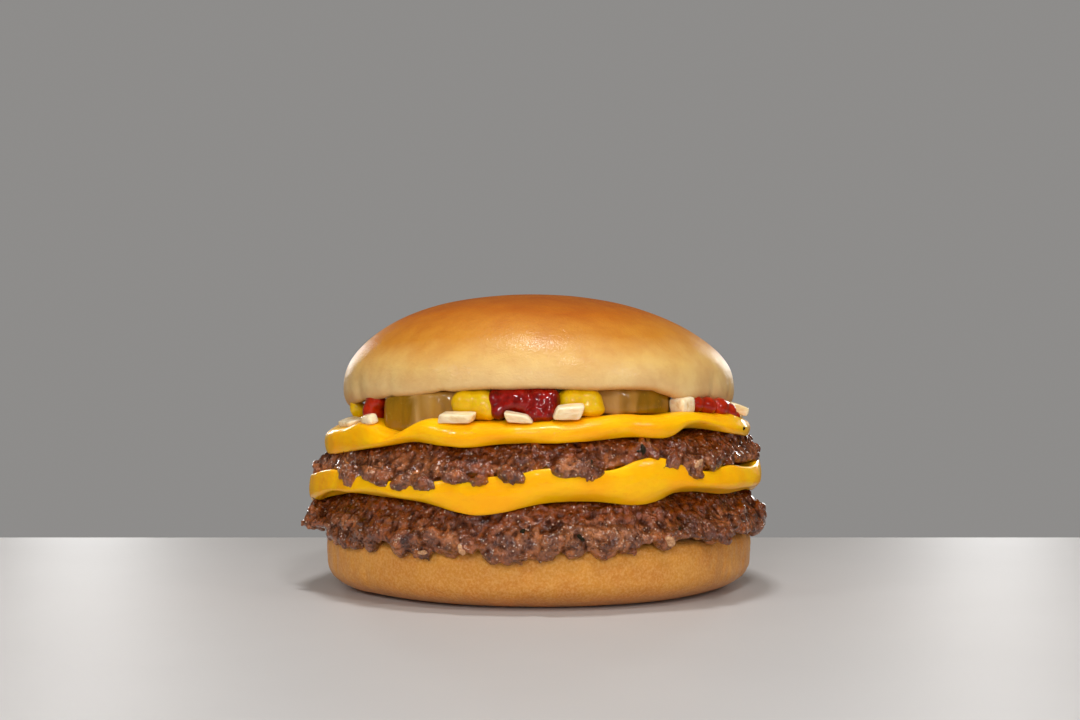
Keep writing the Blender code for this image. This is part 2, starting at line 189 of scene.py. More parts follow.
def objectPlace(tree, stretch=(1.0, 1.0, 1.0)):
    place = addNode(tree, "TexCoord", {}).outputs["Object"]
    if stretch == (1.0, 1.0, 1.0):
        return place
    return addNode(tree, "Mapping", {"Vector": place, "Scale": stretch}).outputs["Vector"]


def cloudy(tree, size, detail=3.0, rough=0.55, stretch=(1.0, 1.0, 1.0), twist=0.0):
    feeds = {
        "Vector": objectPlace(tree, stretch), "Scale": 1.0 / (size * mm),
        "Detail": detail, "Roughness": rough, "Distortion": twist,
    }
    return addNode(tree, "TexNoise", feeds).outputs["Fac"]


def cells(tree, size):
    feeds = {"Vector": objectPlace(tree), "Scale": 1.0 / (size * mm)}
    return addNode(tree, "TexVoronoi", feeds).outputs["Distance"]


def painted(tree, layerName):
    return addNode(tree, "Attribute", {}, attribute_name=layerName).outputs["Fac"]


def span(tree, value, low, high, first=0.0, last=1.0):
    feeds = {"Value": value, "From Min": low, "From Max": high, "To Min": first, "To Max": last}
    return addNode(tree, "MapRange", feeds).outputs["Result"]


def sums(tree, operation, first, second):
    return addNode(tree, "Math", {0: first, 1: second}, operation=operation).outputs[0]


def mixed(tree, share, first, second, blend="MIX"):
    # a Mix node's colours are its sockets 6 and 7, and the mixed colour is its output 2
    feeds = {0: share, 6: first, 7: second}
    return addNode(tree, "Mix", feeds, data_type="RGBA", blend_type=blend).outputs[2]


def dabbed(tree, base, mask, share, colour, blend="MIX"):
    return mixed(tree, sums(tree, "MULTIPLY", mask, share), base, colour, blend)


def shades(tree, value, *stops):
    made = addNode(tree, "ValToRGB", {"Fac": value})
    ramp = made.color_ramp
    while len(ramp.elements) < len(stops):
        ramp.elements.new(0.5)
    for element, (position, colour) in zip(ramp.elements, stops):
        element.position = position
        element.color = colour
    return made.outputs["Color"]


def heightIn(tree, low, high):
    height = addNode(tree, "SeparateXYZ", {"Vector": objectPlace(tree)}).outputs["Z"]
    return span(tree, height, low * mm, high * mm)


def feed(tree, output, shader, socket):
    tree.links.new(output, shader.inputs[socket])


def relief(tree, layers):
    # each layer is a height pattern and how deep it goes
    normal = None
    for height, depth in layers:
        feeds = {"Height": height, "Distance": depth * mm}
        if normal:
            feeds["Normal"] = normal
        normal = addNode(tree, "Bump", feeds).outputs["Normal"]
    return normal


def roughen(tree, shader, *layers, wet=None):
    # a wet film lies smoother than what is under it
    feed(tree, relief(tree, layers), shader, "Normal")
    feed(tree, relief(tree, wet or layers), shader, "Coat Normal")


# finishes: a size or depth is in millimetres, and a share is how strongly a colour covers

crumbLooks = {"size": 1.4, "colours": (tint(226, 192, 132), tint(250, 232, 192))}


def crumbOn(tree, crust):
    # a bun's flat cut face shows its crumb
    crumb = mixed(tree, cloudy(tree, crumbLooks["size"], detail=4.0), *crumbLooks["colours"])
    return mixed(tree, painted(tree, "cutFace"), crust, crumb)


glazedLooks = {
    "heights": (42.0, 69.0), "unevenSize": 22.0, "uneven": (-0.06, 0.06),
    # from the lip to the top
    "bake": (
        (0.0, tint(194, 144, 82)), (0.2, tint(226, 191, 130)), (0.40, tint(223, 181, 105)),
        (0.60, tint(204, 136, 41)), (0.80, tint(190, 105, 6)), (1.0, tint(166, 85, 2)),
    ),
    "mottle": tint(200, 120, 48), "mottleSize": 5.0, "mottleShare": 0.28,
    "dimpleSize": 2.4, "dimpleDepth": 0.10, "grainSize": 0.7, "grainDepth": 0.09,
}


def glazedCrust():
    made, tree, shader = startFinish(
        "glazedCrust", Roughness=0.5, Specular_IOR_Level=0.25, Coat_Weight=0.22, Coat_Roughness=0.15,
        Subsurface_Weight=0.05, Subsurface_Scale=0.003, Subsurface_Radius=(1.0, 0.5, 0.2),
    )
    clouds = cloudy(tree, glazedLooks["unevenSize"], detail=2.0)
    uneven = span(tree, clouds, 0.3, 0.7, *glazedLooks["uneven"])
    height = sums(tree, "ADD", heightIn(tree, *glazedLooks["heights"]), uneven)
    bake = shades(tree, height, *glazedLooks["bake"])
    mottle = span(tree, cloudy(tree, glazedLooks["mottleSize"], detail=4.0), 0.35, 0.7)
    bake = dabbed(tree, bake, mottle, glazedLooks["mottleShare"], glazedLooks["mottle"], "MULTIPLY")
    feed(tree, crumbOn(tree, bake), shader, "Base Color")
    dimples = cloudy(tree, glazedLooks["dimpleSize"], rough=0.5, stretch=(1.0, 1.0, 1.6), twist=0.8)
    grain = cloudy(tree, glazedLooks["grainSize"], rough=0.6, stretch=(1.0, 1.0, 1.3), twist=0.5)
    roughen(tree, shader, (dimples, glazedLooks["dimpleDepth"]), (grain, glazedLooks["grainDepth"]))
    return made


flouryLooks = {
    "heights": (0.0, 16.0), "unevenSize": 6.0, "uneven": (-0.07, 0.07),
    # from the foot to the top; the brighter foot stop is painted light, standing in for light bounced up from
    # below
    "bake": (
        (0.0, tint(238, 138, 38)), (0.07, tint(214, 132, 46)), (0.26, tint(203, 133, 48)),
        (0.65, tint(209, 140, 50)), (1.0, tint(196, 121, 36)),
    ),
    "mottle": tint(190, 112, 40), "mottleSize": 7.0, "mottleShare": 0.5,
    "flour": tint(238, 192, 122), "flourSize": 0.55, "flourShare": 0.30,
    "creaseSize": 1.6, "creaseDepth": 0.22, "poreSize": 0.4, "poreDepth": 0.10,
}


def flouryCrust():
    made, tree, shader = startFinish(
        "flouryCrust", Roughness=0.6, Specular_IOR_Level=0.25, Coat_Weight=0.18, Coat_Roughness=0.2,
        Subsurface_Weight=0.04, Subsurface_Scale=0.002, Sheen_Weight=0.08, Sheen_Roughness=0.4,
    )
    clouds = cloudy(tree, flouryLooks["unevenSize"], detail=4.0)
    uneven = span(tree, clouds, 0.3, 0.7, *flouryLooks["uneven"])
    height = sums(tree, "ADD", heightIn(tree, *flouryLooks["heights"]), uneven)
    # the ramp's brighter foot is painted bounce light
    bake = shades(tree, height, *flouryLooks["bake"])
    mottle = span(tree, cloudy(tree, flouryLooks["mottleSize"]), 0.42, 0.66)
    bake = dabbed(tree, bake, mottle, flouryLooks["mottleShare"], flouryLooks["mottle"])
    flour = span(tree, cloudy(tree, flouryLooks["flourSize"], detail=2.0, rough=0.6), 0.4, 0.66)
    bake = dabbed(tree, bake, flour, flouryLooks["flourShare"], flouryLooks["flour"])
    feed(tree, crumbOn(tree, bake), shader, "Base Color")
    creases = cloudy(tree, flouryLooks["creaseSize"], detail=4.0, rough=0.6, stretch=(1.0, 1.0, 0.7))
    pores = cloudy(tree, flouryLooks["poreSize"], rough=0.6)
    roughen(tree, shader, (creases, flouryLooks["creaseDepth"]), (pores, flouryLooks["poreDepth"]))
    return made


beefLooks = {
    "stray": 0.9, "grainSize": 1.5, "gristleSize": 0.8, "patchSize": 7.0, "shadeSize": 3.2, "grainShare": 0.3,
    # the second of each pair is the colour of the paler patches
    "dark": (tint(48, 13, 0), tint(76, 27, 4)), "light": (tint(150, 68, 8), tint(196, 122, 74)),
    "grease": tint(136, 60, 8), "greaseSize": 3.4, "greaseShare": 0.75,
    # the hollow colour is painted shade, darkening the meat's crevices
    "char": tint(64, 24, 8), "charSize": 1.4, "charShare": 0.5, "hollow": tint(50, 19, 6),
    "fat": tint(212, 172, 142), "fatSize": 2.3, "fatShare": 0.6,
    # pale specks: partly fat, partly painted highlights that stand in for wet glints
    "fatSpeckAndGlint": tint(232, 200, 172), "fatSpeckAndGlintSize": 1.3, "fatSpeckAndGlintShare": 0.55,
    "fleck": tint(22, 14, 7), "fleckSize": 11.0, "fleckShare": 0.9,
    "glossSize": 2.2, "roughness": (0.20, 0.46), "wetness": (1.0, 0.15),
    "lumpDepth": 0.60, "threadDepth": 0.35, "filmSize": 1.1, "filmDepth": 0.45,
    "fineSize": 0.5, "fineDepth": 0.12,
}


def searedBeef(name, hollowShare):
    made, tree, shader = startFinish(
        name, Coat_Weight=1.0, Coat_Roughness=0.09, Coat_IOR=1.7, Specular_IOR_Level=0.1,
        Subsurface_Weight=0.03, Subsurface_Scale=0.001,
    )
    # grains and threads of gristle are cells whose edges stray
    stray = beefLooks["stray"] * mm
    strayed = addNode(tree, "TexNoise", {"Vector": objectPlace(tree), "Scale": 1.0 / stray, "Detail": 2.0})
    strayed = addNode(
        tree, "VectorMath", {0: strayed.outputs["Color"], 1: (stray, stray, stray)}, operation="MULTIPLY",
    ).outputs[0]
    place = addNode(tree, "VectorMath", {0: objectPlace(tree), 1: strayed}, operation="ADD").outputs[0]
    grains = addNode(tree, "TexVoronoi", {"Vector": place, "Scale": 1.0 / (beefLooks["grainSize"] * mm)})
    gristle = addNode(tree, "TexVoronoi", {"Vector": place, "Scale": 1.0 / (beefLooks["gristleSize"] * mm)})
    oneGrain = addNode(tree, "SeparateColor", {"Color": grains.outputs["Color"]}).outputs["Red"]
    browned, hollows = painted(tree, "browned"), painted(tree, "hollow")

    # paler patches grow fewer towards the top
    patches = span(tree, cloudy(tree, beefLooks["patchSize"], rough=0.5), 0.42, 0.62, -0.1, 0.7)
    fewer = span(tree, browned, 0.0, 1.0, 0.3, -0.4)
    patches = addNode(tree, "Math", {0: patches, 1: fewer}, operation="ADD", use_clamp=True).outputs[0]
    shade = span(tree, cloudy(tree, beefLooks["shadeSize"]), 0.38, 0.62)
    shade = sums(tree, "MULTIPLY", shade, 1.0 - beefLooks["grainShare"])
    shade = sums(tree, "ADD", shade, sums(tree, "MULTIPLY", oneGrain, beefLooks["grainShare"]))
    dark, light = mixed(tree, patches, *beefLooks["dark"]), mixed(tree, patches, *beefLooks["light"])
    meat = mixed(tree, shade, dark, light)

    grease = sums(tree, "MULTIPLY", span(tree, cloudy(tree, beefLooks["greaseSize"]), 0.36, 0.56), browned)
    meat = dabbed(tree, meat, grease, beefLooks["greaseShare"], beefLooks["grease"])
    char = span(tree, cloudy(tree, beefLooks["charSize"], rough=0.6), 0.52, 0.66)
    meat = dabbed(tree, meat, char, beefLooks["charShare"], beefLooks["char"])
    # painted shade in the hollows
    meat = dabbed(tree, meat, hollows, hollowShare, beefLooks["hollow"])
    fat = cloudy(tree, beefLooks["fatSize"], rough=0.6, stretch=(1.0, 1.0, 1.4), twist=0.8)
    meat = dabbed(tree, meat, span(tree, fat, 0.66, 0.71), beefLooks["fatShare"], beefLooks["fat"])
    # pale specks of fat, which also paint highlights in place of wet glints
    specks = span(tree, cells(tree, beefLooks["fatSpeckAndGlintSize"]), 0.19, 0.12)
    meat = dabbed(tree, meat, specks, beefLooks["fatSpeckAndGlintShare"], beefLooks["fatSpeckAndGlint"])
    flecks = span(tree, cells(tree, beefLooks["fleckSize"]), 0.06, 0.04)
    meat = dabbed(tree, meat, flecks, beefLooks["fleckShare"], beefLooks["fleck"])
    feed(tree, meat, shader, "Base Color")

    gloss = span(tree, cloudy(tree, beefLooks["glossSize"]), 0.3, 0.7, *beefLooks["roughness"])
    feed(tree, gloss, shader, "Roughness")
    feed(tree, span(tree, hollows, 0.0, 0.7, *beefLooks["wetness"]), shader, "Coat Weight")
    lumps = (span(tree, grains.outputs["Distance"], 0.0, 0.8, 1.0, 0.0), beefLooks["lumpDepth"])
    threads = (span(tree, gristle.outputs["Distance"], 0.0, 0.8, 1.0, 0.0), beefLooks["threadDepth"])
    fine = (cloudy(tree, beefLooks["fineSize"], detail=1.0, rough=0.5), beefLooks["fineDepth"])
    film = (cloudy(tree, beefLooks["filmSize"], detail=2.0, rough=0.5), beefLooks["filmDepth"])
    roughen(tree, shader, lumps, threads, fine, wet=(lumps, film))
    return made


cheeseLooks = {
    "bodySize": 9.0, "body": (tint(255, 172, 0), tint(255, 190, 0)),
    "seam": tint(230, 128, 2), "seamSize": 3.2, "seamShare": 0.35,
    "waveSize": 5.0, "waveDepth": 0.30, "grainSize": 1.2, "grainDepth": 0.03,
}


def meltedCheese():
    made, tree, shader = startFinish(
        "meltedCheese", Roughness=0.45, Specular_IOR_Level=0.1, Coat_Weight=0.38, Coat_Roughness=0.06,
        Subsurface_Weight=0.30, Subsurface_Scale=0.002, Subsurface_Radius=(1.0, 0.45, 0.08),
    )
    body = mixed(tree, span(tree, cloudy(tree, cheeseLooks["bodySize"]), 0.35, 0.65), *cheeseLooks["body"])
    seams = cloudy(tree, cheeseLooks["seamSize"], detail=4.0, rough=0.6, stretch=(1.0, 1.0, 2.2))
    body = dabbed(tree, body, span(tree, seams, 0.62, 0.74), cheeseLooks["seamShare"], cheeseLooks["seam"])
    feed(tree, body, shader, "Base Color")
    waves = cloudy(tree, cheeseLooks["waveSize"], detail=2.0, rough=0.5, stretch=(1.0, 1.0, 1.8))
    grain = cloudy(tree, cheeseLooks["grainSize"], rough=0.5)
    roughen(tree, shader, (waves, cheeseLooks["waveDepth"]), (grain, cheeseLooks["grainDepth"]))
    return made


pickleLooks = {
    "skinSize": 3.0, "skin": (tint(148, 104, 0), tint(118, 86, 0)),
    "dotSize": 0.8, "dot": tint(152, 116, 26), "streakSize": 5.0,
    "flesh": (
        (0.34, tint(132, 94, 14)), (0.48, tint(168, 124, 48)),
        (0.60, tint(194, 154, 90)), (0.72, tint(150, 110, 34)),
    ),
    "waveSize": 1.4, "waveDepth": 0.16,
}


def pickledCucumber():
    made, tree, shader = startFinish(
        "pickledCucumber", Roughness=0.4, Specular_IOR_Level=0.15, Coat_Weight=0.7, Coat_Roughness=0.07,
        Subsurface_Weight=0.25, Subsurface_Scale=0.002, Subsurface_Radius=(1.0, 0.9, 0.3),
    )
    clouds = cloudy(tree, pickleLooks["skinSize"], rough=0.5, stretch=(1.0, 1.0, 0.25))
    skin = mixed(tree, span(tree, clouds, 0.4, 0.65), *pickleLooks["skin"])
    dots = span(tree, cloudy(tree, pickleLooks["dotSize"], detail=2.0), 0.62, 0.72)
    skin = mixed(tree, dots, skin, pickleLooks["dot"])
    streaks = cloudy(tree, pickleLooks["streakSize"], detail=1.6, rough=0.4, stretch=(1.0, 1.0, 0.12))
    flesh = shades(tree, streaks, *pickleLooks["flesh"])
    feed(tree, mixed(tree, painted(tree, "flesh"), skin, flesh), shader, "Base Color")
    waves = cloudy(tree, pickleLooks["waveSize"], rough=0.5, stretch=(1.0, 1.0, 0.4))
    roughen(tree, shader, (waves, pickleLooks["waveDepth"]))
    return made


mustardLooks = {
    "bodySize": 3.0, "body": (tint(220, 169, 0), tint(227, 184, 0)),
    "seed": tint(176, 120, 10), "seedSize": 0.9, "seedShare": 0.35,
    "waveSize": 1.8, "waveDepth": 0.12, "grainSize": 0.4, "grainDepth": 0.02,
}


def brightMustard():
    made, tree, shader = startFinish(
        "brightMustard", Roughness=0.4, Specular_IOR_Level=0.15, Coat_Weight=0.6, Coat_Roughness=0.06,
        Subsurface_Weight=0.3, Subsurface_Scale=0.0025, Subsurface_Radius=(1.0, 0.6, 0.06),
    )
    body = mixed(tree, span(tree, cloudy(tree, mustardLooks["bodySize"]), 0.35, 0.65), *mustardLooks["body"])
    seeds = span(tree, cells(tree, mustardLooks["seedSize"]), 0.14, 0.08)
    body = dabbed(tree, body, seeds, mustardLooks["seedShare"], mustardLooks["seed"])
    feed(tree, body, shader, "Base Color")
    waves = cloudy(tree, mustardLooks["waveSize"])
    grain = cloudy(tree, mustardLooks["grainSize"], detail=2.0)
    roughen(tree, shader, (waves, mustardLooks["waveDepth"]), (grain, mustardLooks["grainDepth"]))
    return made


ketchupLooks = {"pulpSize": 2.4, "waveSize": 2.4, "waveDepth": 0.10, "grainSize": 0.6, "grainDepth": 0.01}


def tomatoKetchup(name, deep, bright):
    made, tree, shader = startFinish(
        name, Roughness=0.35, Specular_IOR_Level=0.1, Coat_Weight=0.75, Coat_Roughness=0.04,
        Subsurface_Weight=0.12, Subsurface_Scale=0.0015, Subsurface_Radius=(1.0, 0.12, 0.05),
    )
    pulp = span(tree, cloudy(tree, ketchupLooks["pulpSize"], detail=4.0, rough=0.6), 0.36, 0.66)
    feed(tree, mixed(tree, pulp, deep, bright), shader, "Base Color")
    waves = cloudy(tree, ketchupLooks["waveSize"], detail=2.0, rough=0.5)
    grain = cloudy(tree, ketchupLooks["grainSize"], detail=2.0)
    roughen(tree, shader, (waves, ketchupLooks["waveDepth"]), (grain, ketchupLooks["grainDepth"]))
    return made


onionLooks = {
    "layerSize": 2.2,
    "layers": ((0.30, tint(226, 190, 134)), (0.5, tint(248, 226, 188)), (0.70, tint(236, 200, 156))),
    "grainSize": 0.9, "grainDepth": 0.12,
}


def rawOnion():
    made, tree, shader = startFinish(
        "rawOnion", Roughness=0.24, Coat_Weight=0.5, Coat_Roughness=0.08, IOR=1.38,
        Subsurface_Weight=0.5, Subsurface_Scale=0.003, Subsurface_Radius=(1.0, 0.85, 0.6),
    )
    layers = cloudy(tree, onionLooks["layerSize"], detail=2.0, rough=0.5, stretch=(0.35, 2.0, 1.2))
    feed(tree, shades(tree, layers, *onionLooks["layers"]), shader, "Base Color")
    grain = cloudy(tree, onionLooks["grainSize"], rough=0.5, stretch=(0.3, 1.5, 1.5))
    roughen(tree, shader, (grain, onionLooks["grainDepth"]))
    return made


bitLooks = {"spotSize": 0.5, "grainSize": 0.3, "grainDepth": 0.10}


def smallBits(name, first, second, shine):
    made, tree, shader = startFinish(
        name, Roughness=0.5, Specular_IOR_Level=0.1, Coat_Weight=shine, Coat_Roughness=0.1,
    )
    spots = span(tree, cloudy(tree, bitLooks["spotSize"]), 0.4, 0.6)
    feed(tree, mixed(tree, spots, first, second), shader, "Base Color")
    roughen(tree, shader, (cloudy(tree, bitLooks["grainSize"], detail=2.0), bitLooks["grainDepth"]))
    return made


crownCrust = glazedCrust()
heelCrust = flouryCrust()
# the two beef finishes differ only in how strongly painted shade darkens their hollows
lowerBeef = searedBeef("deeperShadedBeef", 0.85)
upperBeef = searedBeef("greyBrownBeef", 0.75)
cheese = meltedCheese()
pickle = pickledCucumber()
mustard = brightMustard()
ketchup = tomatoKetchup("tomatoKetchup", tint(98, 3, 0), tint(158, 14, 1))
# a brighter, more orange copy of the ketchup: painted light standing in for light shining through the beads
# from behind
thinKetchup = tomatoKetchup("thinKetchup", tint(140, 20, 0), tint(184, 40, 2))
onion = rawOnion()
paleFat = smallBits("paleFat", tint(206, 160, 118), tint(170, 118, 80), 0.7)
blackPepper = smallBits("blackPepper", tint(34, 24, 6), tint(26, 26, 6), 0.1)
print("finishes made")


# top bun: a range is two heights or two radii between which a form fades in

topBun = {
    "levels": 3, "cutFaceRadius": 43.4, "cutFaceFade": 1.5,
    "swellSize": 20.0, "swellDepth": 0.28, "sink": 0.168,
    "puckerRadius": 42.5, "puckerRing": 46.0, "puckerHeights": (46.0, 52.5),
    "puckerSize": 5.0, "puckerDepth": 0.32,
    "swell": 0.6, "swellMiddle": 50.0, "swellTall": 7.0, "swellReach": (36.0, 42.0),
    "lipDrop": 0.75, "lipReach": (40.0, 43.0), "lipHeights": (46.0, 52.0),
    "cutDrop": 2.4, "cutReach": (38.0, 42.0), "cutHeights": (49.0, 52.0),
    # places round the rim: angle, half-width and size
    "bulges": ((-90, 40, 0.25),),
    "lipDrops": ((-52, 12, 0.2), (44, 9, 0.7), (72, 12, 0.5)),
    "creases": (
        (-64, 2.4, 0.42), (-47, 1.8, 0.34), (-28, 2.0, 0.30), (33, 2.2, 0.36), (58, 2.4, 0.4), (71, 1.8, 0.3),
    ),
}


def puckered(point):
    angle, height = angleOf(point), point.z / mm
    low = 1.0 - ease(height, *topBun["puckerHeights"])
    around = Vector((math.sin(math.radians(angle)), math.cos(math.radians(angle)), height * 0.012))
    wave = lump(around * topBun["puckerRing"], topBun["puckerSize"], seed=3.0)
    depth = topBun["puckerDepth"] * low * wave
    for at, width, deep in topBun["creases"]:
        lean = (height - topBun["puckerHeights"][0]) * 0.25
        depth -= low * deep * math.exp(-((apart(angle, at + lean) / width) ** 2))
    return depth


def cutFaceOf(vert):
    inside = topBun["cutFaceRadius"] - radiusOf(vert.co) / mm
    return ease(-vert.normal.z, 0.75, 0.95) * ease(inside, 0.0, topBun["cutFaceFade"])


crownShape = rounded(mergedCopy("bun_top"), topBun["levels"])
paint(crownShape, "cutFace", cutFaceOf)
for vert in crownShape.verts:
    move = topBun["swellDepth"] * lump(vert.co, topBun["swellSize"] * mm, seed=5.0) - topBun["sink"]
    if radiusOf(vert.co) > topBun["puckerRadius"] * mm:
        move += puckered(vert.co)
    vert.co += vert.normal * move * mm
    near, height = radiusOf(vert.co) / mm, vert.co.z / mm
    bulge = topBun["swell"] + bumps(angleOf(vert.co), topBun["bulges"])
    bulge *= math.exp(-(((height - topBun["swellMiddle"]) / topBun["swellTall"]) ** 2))
    bulge *= ease(near, *topBun["swellReach"])
    vert.co += spot(angleOf(vert.co), bulge, 0.0)
    drop = topBun["lipDrop"] + bumps(angleOf(vert.co), topBun["lipDrops"])
    drop *= ease(near, *topBun["lipReach"]) * (1.0 - ease(height, *topBun["lipHeights"]))
    inward = 1.0 - ease(near, *topBun["cutReach"])
    drop += topBun["cutDrop"] * inward * (1.0 - ease(height, *topBun["cutHeights"]))
    vert.co.z -= drop * mm
finishPiece("crown_bun", crownShape, crownCrust, ["bun_top"])
print("top bun shaped")


# bottom bun

bottomBun = {
    "levels": 3, "sideRadius": 40.0, "flatBelow": 0.25, "footHeights": (0.2, 1.6), "cutHeights": (14.0, 14.8),
    "swellSize": 16.0, "swellDepth": 0.30, "bulges": ((-82, 20, 0.5),),
    "cornerSwell": 0.9, "cornerMiddle": 4.5, "cornerTall": 3.0,
    "wrinkleSize": 1.9, "wrinkleDepth": 0.60, "wrinkleRing": 50.0, "wrinkleHeights": (2.0, 7.0),
    "frontWrinkles": 0.25, "sideWrinkles": 0.95, "pitSize": 0.9, "pitDepth": 0.07,
}


def wrinkled(point):
    angle, height = angleOf(point), point.z / mm
    side = ease(abs(math.sin(math.radians(angle))), 0.55, 0.95)
    around = Vector((math.sin(math.radians(angle)), math.cos(math.radians(angle)), height * 0.006))
    ridges = abs(lump(around * bottomBun["wrinkleRing"], bottomBun["wrinkleSize"], seed=8.0))
    share = bottomBun["frontWrinkles"] + bottomBun["sideWrinkles"] * side
    return -bottomBun["wrinkleDepth"] * ridges * share * ease(height, *bottomBun["wrinkleHeights"])


heelShape = rounded(mergedCopy("bun_bottom"), bottomBun["levels"])
paint(
    heelShape, "cutFace",
    lambda v: ease(v.normal.z, 0.85, 0.97) * ease(v.co.z / mm, *bottomBun["cutHeights"]),
)
for vert in heelShape.verts:
    if vert.co.z > bottomBun["flatBelow"] * mm and radiusOf(vert.co) > bottomBun["sideRadius"] * mm:
        fade = ease(vert.co.z / mm, *bottomBun["footHeights"])
        move = bottomBun["swellDepth"] * (lump(vert.co, bottomBun["swellSize"] * mm, seed=9.0) - 0.5)
        move += wrinkled(vert.co)
        move += bumps(angleOf(vert.co), bottomBun["bulges"])
        fromCorner = (vert.co.z / mm - bottomBun["cornerMiddle"]) / bottomBun["cornerTall"]
        move += bottomBun["cornerSwell"] * math.exp(-(fromCorner ** 2))
        move += bottomBun["pitDepth"] * lump(vert.co, bottomBun["pitSize"] * mm, seed=2.0)
        vert.co += vert.normal * move * fade * mm
finishPiece("heel_bun", heelShape, heelCrust, ["bun_bottom"])
print("bottom bun shaped")


# cheese layers

cheeseLayer = {
    "levels": 2, "foldSize": 7.0, "foldDepth": 0.22, "rippleSize": 2.6, "rippleDepth": 0.07,
    # between these radii a layer starts to lift, pull out, belly and drip
    "liftReach": (38.0, 44.0), "pullReach": (42.0, 50.0),
    "bellyReach": (46.0, 50.0), "dripReach": (50.5, 53.0),
}
# places round the rim: angle, half-width and size
lowerCheese = {
    "lift": 1.3, "lifts": ((0, 14, 0.4), (30, 8, 0.5), (-74, 12, -0.1), (66, 16, -1.5)),
    "sags": ((-40, 8, 0.3), (-72, 12, 0.8)), "pulls": ((88, 14, -0.7), (-84, 12, 0.3)),
    "bellies": ((-60, 16, 0.8), (60, 18, 1.0)), "drips": ((-68, 14, 1.4), (64, 17, 1.1)),
}
upperCheese = {
    "lift": 0.1, "lifts": ((-54, 7, 2.1), (-31, 7, 1.2), (-41, 3, -0.5), (62, 10, 0.5)),
    "sags": ((-68, 15, 1.1), (-36, 6, -0.5), (42, 6, -0.6), (26, 7, -0.4)),
    "pulls": ((82, 16, -1.3), (-80, 10, -0.2)), "bellies": ((60, 14, 1.3), (-46, 9, 0.9)), "drips": (),
}


def meltedLayer(name, nodeName, values, seed):
    shape = rounded(mergedCopy(nodeName), cheeseLayer["levels"])
    for vert in shape.verts:
        reach, angle = radiusOf(vert.co) / mm, angleOf(vert.co)
        if reach < cheeseLayer["liftReach"][0]:
            continue
        move = cheeseLayer["foldDepth"] * lump(vert.co, cheeseLayer["foldSize"] * mm, seed)
        move += cheeseLayer["rippleDepth"] * lump(vert.co, cheeseLayer["rippleSize"] * mm, seed + 4.0)
        upward = ease(vert.normal.z, -0.25, 0.5)
        lift = values["lift"] + bumps(angle, values["lifts"])
        sag = bumps(angle, values["sags"])
        rise = (lift * upward - sag * (1.0 - upward)) * ease(reach, *cheeseLayer["liftReach"])
        rise -= bumps(angle, values["drips"]) * (1.0 - upward) * ease(reach, *cheeseLayer["dripReach"])
        pull = bumps(angle, values["pulls"]) * ease(reach, *cheeseLayer["pullReach"])
        pull += bumps(angle, values["bellies"]) * (1.0 - upward) * ease(reach, *cheeseLayer["bellyReach"])
        vert.co += vert.normal * move * mm + spot(angle, pull, rise)
    shape.normal_update()
    skin = BVHTree.FromBMesh(shape)
    finishPiece(name, shape, cheese, [nodeName])
    return skin


lowerCheeseSkin = meltedLayer("melted_cheese_lower", "cheese_lower", lowerCheese, 3.0)
upperCheeseSkin = meltedLayer("melted_cheese_upper", "cheese_upper", upperCheese, 7.0)
print("cheese melted")


# beef patties

beefPatty = {
    "sideRadius": 40.0, "rimRadius": 42.0, "hiddenRadius": 44.5, "lumpVoxel": 0.6, "voxel": 0.375,
    "smoothing": 5, "swell": -0.15,
    # lumps, grains and strands: how many, their sizes, the shares of a size, and how much of one is sunk
    "lumps": 420, "lumpSizes": (1.3, 3.4),
    "lumpWide": (0.55, 0.9), "lumpTall": (0.4, 0.6), "lumpSunk": (0.3, 0.95),
    "grains": 4200, "grainSizes": (0.40, 1.0),
    "grainLong": (1.0, 1.5), "grainWide": (0.7, 1.0), "grainTall": (0.6, 0.9), "grainSunk": (-0.2, 1.0),
    "strands": 600, "strandLength": (1.2, 2.6), "strandThick": (0.40, 0.65), "strandSunk": (0.0, 0.6),
    "cragSize": 4.0, "cragDepth": 0.55, "pitSize": 1.8, "pitDepth": 0.38, "fineSize": 0.8, "fineDepth": 0.14,
    # how near the cheese counts, and the gaps that are kept under it and inside its rim
    "cheeseNear": 4.5, "cheeseGap": 0.05, "rimNear": 1.5, "rimGap": 0.3,
    # rounds of smoothing that find small and large hollows, which the beef finish darkens with painted shade,
    # how much the small ones count, how deep a full hollow is, and between which shares of its height the
    # meat browns
    "hollowRounds": (9, 34), "smallHollows": 2.2, "hollowDepth": 0.55, "brownedShare": (0.35, 0.8),
}
# lobes that hang from the lower edge: angle, radius, height, half-sizes across, deep and tall
lowerLobes = (
    (-78, 51.4, 19.4, 2.6, 2.6, 2.4), (-76, 53.2, 17.4, 2.2, 2.6, 2.4), (-76, 54.8, 15.7, 1.6, 1.7, 1.5),
    (-73, 53.2, 15.8, 1.8, 1.8, 1.3), (-72, 49.9, 13.2, 1.7, 1.6, 1.4), (-68, 50.5, 14.8, 2.8, 2.0, 2.8),
    (-63, 50.6, 13.6, 3.0, 2.0, 2.4), (-58, 50.6, 13.4, 2.8, 2.0, 2.2), (-54, 50.6, 13.7, 3.2, 2.0, 2.2),
    (-47, 50.4, 13.4, 2.6, 2.0, 2.1), (-36, 50.6, 13.2, 2.6, 2.0, 2.5), (-30, 50.8, 12.9, 3.2, 2.0, 2.3),
    (-22, 50.6, 13.6, 2.6, 1.8, 1.8), (-11, 51.2, 12.6, 2.6, 2.0, 2.4), (-6, 51.2, 12.4, 3.6, 2.0, 2.2),
    (1, 50.8, 13.0, 3.0, 2.0, 1.9), (8, 50.6, 13.2, 2.6, 1.8, 1.7), (15, 50.6, 13.4, 3.2, 2.0, 1.8),
    (21, 50.6, 13.6, 2.4, 1.8, 1.8), (31, 50.6, 14.6, 3.0, 1.8, 1.8), (47, 50.8, 15.0, 3.0, 2.0, 2.0),
    (80, 51.6, 17.4, 2.4, 2.2, 3.4), (76, 51.4, 14.6, 2.2, 2.0, 1.8),
)
